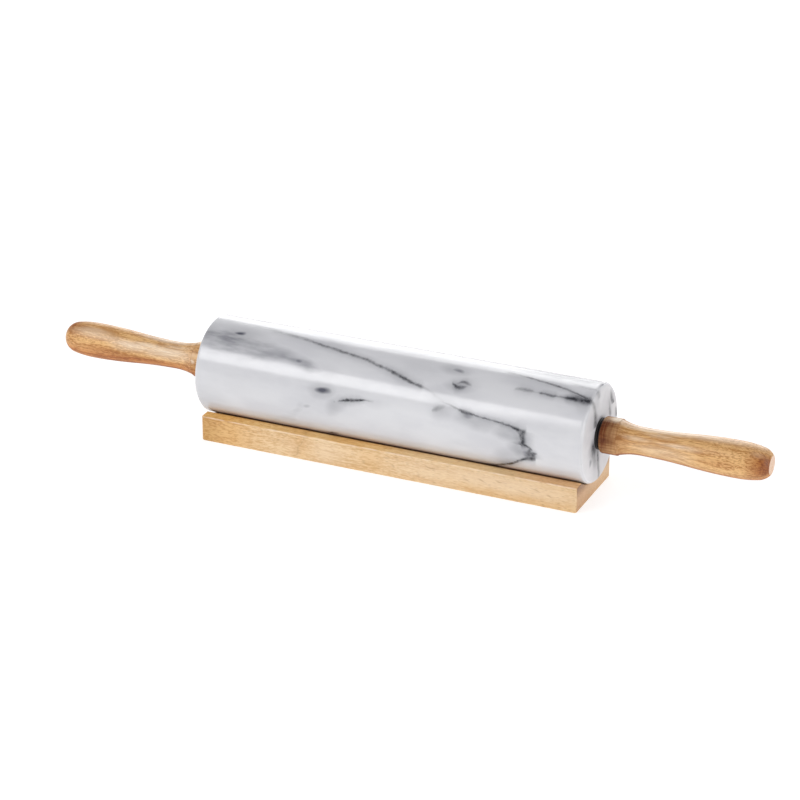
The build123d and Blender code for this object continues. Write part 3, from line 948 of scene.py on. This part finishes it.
def handle_outline():
    """The handle's outline from the socket's bottom round the collar, waist and belly to the tip's middle."""
    step = 0.7 * mm
    inward, outward, upward = (-1, 0), (1, 0), (0, 1)
    collar_foot = (handle_start, collar_radius - collar_edge_radius)
    collar_near = (handle_start + collar_edge_radius, collar_radius)
    collar_far = (collar_end - corner_edge_radius, collar_radius)
    corner_low = (collar_end, collar_radius - corner_edge_radius)
    cove_top = (collar_end, collar_radius - quirk_depth)
    waist = (waist_at, waist_radius)
    turn = ((waist_at + belly_at) / 2, (waist_radius + belly_radius) / 2)
    belly = (belly_at, belly_radius)
    nose = (taper_end, taper_radius)
    tip = (handle_end, tip_radius)
    insert_hole = insert_sleeve_radius + press_gap
    pilot_hole = rod_radius + washer_gap
    head_hole = insert_head_radius + press_gap
    socket = [(pilot_hole_depth, 0), (pilot_hole_depth, pilot_hole), (insert_hole_depth, pilot_hole),
              (insert_hole_depth, insert_hole), (head_depth, insert_hole), (head_depth, head_hole),
              (0, head_hole)]
    stretches = [
        np.array(socket) + (handle_start, 0),
        tangent_arc(collar_foot, upward, collar_near, 0.2 * mm),
        tangent_arc(collar_far, outward, corner_low, 0.1 * mm),
        tangent_arc(waist, inward, cove_top, step)[::-1],
        tangent_arc(waist, outward, turn, step),
        tangent_arc(belly, inward, turn, step)[::-1],
        tangent_arc(belly, outward, nose, step),
        tangent_arc(nose, leaving(belly, outward, nose), tip, 0.4 * mm),
        np.array([(handle_end, 0)]),
    ]
    return spaced(np.vstack(stretches), step, closed=False)


def handle(side, name):
    """The turned handle, sanded slightly uneven."""
    skin = turned(handle_outline(), handle_sides, side, handle_wave, reach=0.09, phase=1.0 + side)
    make_piece(name + "_handle_turning", name + "_handle", (skin, False, True))


def quarter_round():
    """Shares of a radius at which a quarter round is cut, from its flat start to its far side."""
    return 1 - np.cos(np.linspace(0, np.pi / 2, 7))[1:]


def cradle_section():
    """Places across the block and the height of its top at each: the upper side of the section with its round
    trough and eased lips, and closer places where the long edges are eased."""
    swing = math.asin(trough_half_width / trough_radius)
    angles = np.linspace(-swing, swing, 41)[:, None]
    trough = np.hstack([trough_radius * np.sin(angles), trough_floor + trough_radius * (1 - np.cos(angles))])
    lips = np.zeros(len(trough))
    lips[[0, -1]] = lip_radius
    front, back, top = -cradle_half_width, cradle_half_width, cradle_height
    corners = np.vstack([[(back, 0), (back, top)], trough[::-1], [(front, top), (front, 0)]])
    outline = rounded(corners, [0, 0, *lips, 0, 0])[::-1]
    chain = spaced(outline[outline[:, 1] > trough_floor / 2], 1.6 * mm, closed=False)
    edge_places = back - cradle_edge_radius * quarter_round()
    across = np.concatenate([chain[:, 0], edge_places, -edge_places])
    across = np.unique(np.round(across / merge_distance).astype(int)) * merge_distance
    across[[0, -1]] = front, back
    return across, np.interp(across, chain[:, 0], chain[:, 1])


def cradle_stations():
    """Places along the block, close together in its rounded ends, as a column."""
    edge, corner = cradle_edge_radius, cradle_corner_radius
    inner = cradle_half_length - corner
    near_end = np.concatenate([[0], edge * quarter_round(), np.linspace(edge, corner, 5)[1:]])
    steps = math.ceil(2 * inner / (2.2 * mm))
    middle = np.linspace(-inner, inner, steps + 1)[1:-1]
    left_end = near_end - cradle_half_length
    return np.concatenate([left_end, middle, -left_end[::-1]])[:, None]


def inside_plan(x, y):
    """How far each place lies inside the plan's outline, a rectangle with rounded corners: the corner's
    radius less the distance past its centre."""
    corner = cradle_corner_radius
    reach_x = np.abs(x) - (cradle_half_length - corner)
    reach_y = np.abs(y) - (cradle_half_width - corner)
    round_part = np.hypot(np.maximum(reach_x, 0), np.maximum(reach_y, 0))
    inside = np.maximum(corner - round_part - np.minimum(np.maximum(reach_x, reach_y), 0), 0)
    inside[np.abs(inside) < merge_distance] = 0
    return inside


def cradle_block():
    """The block with its round trough. Its top and bottom are heights over one grid of stations along the pin
    and places across it, drawn in beside the trough where the plan's corners are round. Near the plan's
    outline each height eases by a quarter round, and a wall joins the two borders."""
    corner, edge = cradle_corner_radius, cradle_edge_radius
    across, height = cradle_section()
    stations = cradle_stations()
    inner = cradle_half_length - corner
    past = np.clip((np.abs(stations) - inner) / corner, 0, 1)
    plan_half = cradle_half_width - corner * (1 - np.sqrt(1 - past**2))
    squeeze = (plan_half - trough_half_width) / (cradle_half_width - trough_half_width)
    outside_lip = np.maximum(np.abs(across) - trough_half_width, 0)
    y = np.sign(across) * (np.minimum(np.abs(across), trough_half_width) + outside_lip * squeeze)
    x = stations + 0 * y
    inside = inside_plan(x, y)

    worn = 1 - 0.35 * waves(x, 0 * x, reach=0.06, phase=0.4) * (np.abs(x) < inner)
    top_edge = np.where(np.abs(y) < trough_half_width, trough_edge_radius, edge * worn)
    top = height - eased_edge(inside, top_edge)
    top -= cradle_wave * waves(x, y * 40, reach=0.12, phase=2.0) * (inside > edge)
    bottom = eased_edge(inside, edge + 0 * x)
    top_grid = np.stack([x, y, top], axis=-1)
    bottom_grid = np.stack([x, y, bottom], axis=-1)
    ring_low, ring_high = border(bottom_grid), border(top_grid)
    wall = ring_low + (ring_high - ring_low) * np.linspace(0, 1, 7)[:, None, None]
    grids = (top_grid, False, False), (bottom_grid, False, False), (wall, False, True)
    make_piece("cradle_block", "cradle", *grids)


def eased_edge(inside, radius):
    """How far a quarter round drops at a distance inside the edge: the radius less the root of its square
    less the square of what is left to its far side."""
    left = np.maximum(radius - inside, 0)
    return radius - np.sqrt(np.maximum(radius**2 - left**2, 0))


def border(grid):
    """The points once round the edge of a grid."""
    return np.concatenate([grid[0, :-1], grid[:-1, -1], grid[-1, :0:-1], grid[:0:-1, 0]])


marble_barrel()
cradle_block()
for end_side, end_name in ((1, "right"), (-1, "left")):
    bushing(end_side, end_name)
    washer(end_side, end_name)
    handle(end_side, end_name)
for kept_name in ("axle_rod", "left_insert", "right_insert"):
    kept_slot = frame["nodes"][kept_name].material_slots[0]
    kept_slot.material = finishes[kept_slot.material.name].material


def direction(azimuth, elevation):
    """The unit vector towards a place round the object, azimuth 0 being the front and 90 the right."""
    a, e = math.radians(azimuth), math.radians(elevation)
    return Vector((math.sin(a) * math.cos(e), -math.cos(a) * math.cos(e), math.sin(e)))


def soft_box(name, azimuth, elevation, distance, width, height, strength):
    """A rectangular light that faces the pin; its strength is how bright its face is, white being 1."""
    light = bpy.data.lights.new(name, "AREA")
    light.shape = "RECTANGLE"
    light.size = width
    light.size_y = height
    light.energy = strength * width * height * math.pi
    lamp = bpy.data.objects.new(name, light)
    way = direction(azimuth, elevation)
    lamp.location = Vector((0, 0, axis_height)) + way * distance
    lamp.rotation_mode = "QUATERNION"
    lamp.rotation_quaternion = way.to_track_quat("Z", "Y")
    lamp.visible_camera = False
    bpy.context.scene.collection.objects.link(lamp)


def white_floor():
    """A wide floor, bright enough by itself to meet the white behind it."""
    reach = 40.0
    mesh = bpy.data.meshes.new("floor")
    corners = [(-reach, -reach, 0), (reach, -reach, 0), (reach, reach, 0), (-reach, reach, 0)]
    mesh.from_pydata(corners, [], [(0, 1, 2, 3)])
    floor = bpy.data.objects.new("floor", mesh)
    bpy.context.scene.collection.objects.link(floor)
    finish = Finish("floor_white")
    finish.set(Base_Color=(0.46, 0.46, 0.46), Roughness=0.9, Specular_IOR_Level=0.0)
    finish.set(Emission_Color=(1, 1, 1), Emission_Strength=0.7)
    mesh.materials.append(finish.material)


def surround():
    """A pale room all round, dimmer overhead."""
    world = bpy.data.worlds.new("studio")
    world.use_nodes = True
    bpy.context.scene.world = world
    tree = world.node_tree
    sky = tree.nodes["Background"]
    coordinates = tree.nodes.new("ShaderNodeTexCoord")
    split = tree.nodes.new("ShaderNodeSeparateXYZ")
    ramp = tree.nodes.new("ShaderNodeValToRGB")
    tree.links.new(coordinates.outputs["Generated"], split.inputs[0])
    tree.links.new(split.outputs["Z"], ramp.inputs[0])
    tree.links.new(ramp.outputs[0], sky.inputs["Color"])
    low, high = ramp.color_ramp.elements
    low.position, low.color = 0.1, (0.56, 0.56, 0.57, 1)
    high.position, high.color = 0.7, (0.355, 0.355, 0.37, 1)


def studio():
    """The floor, the surround, and soft boxes in front, behind and to the right."""
    white_floor()
    surround()
    soft_box("key_box", -40, 34.5, 1.6, 1.1, 0.6, 5.4)
    soft_box("back_box", -170, 14, 1.8, 1.7, 0.75, 2.7)
    soft_box("back_glow", -173.3, 34, 1.8, 1.45, 0.6, 2.92)
    soft_box("end_box", 80, 13, 1.6, 0.9, 0.9, 2.9)


def camera():
    """A long lens, high on the front right."""
    lens = bpy.data.cameras.new("camera")
    lens.lens = camera_lens
    lens.sensor_width = camera_sensor
    lens.clip_start = 0.01
    lens.clip_end = 200
    eye = bpy.data.objects.new("camera", lens)
    way = direction(camera_azimuth, camera_elevation)
    eye.location = Vector(camera_target) + way * camera_distance
    eye.rotation_mode = "QUATERNION"
    eye.rotation_quaternion = way.to_track_quat("Z", "Y")
    bpy.context.scene.collection.objects.link(eye)
    bpy.context.scene.camera = eye


studio()
camera()
bpy.context.scene.view_settings.view_transform = "Standard"
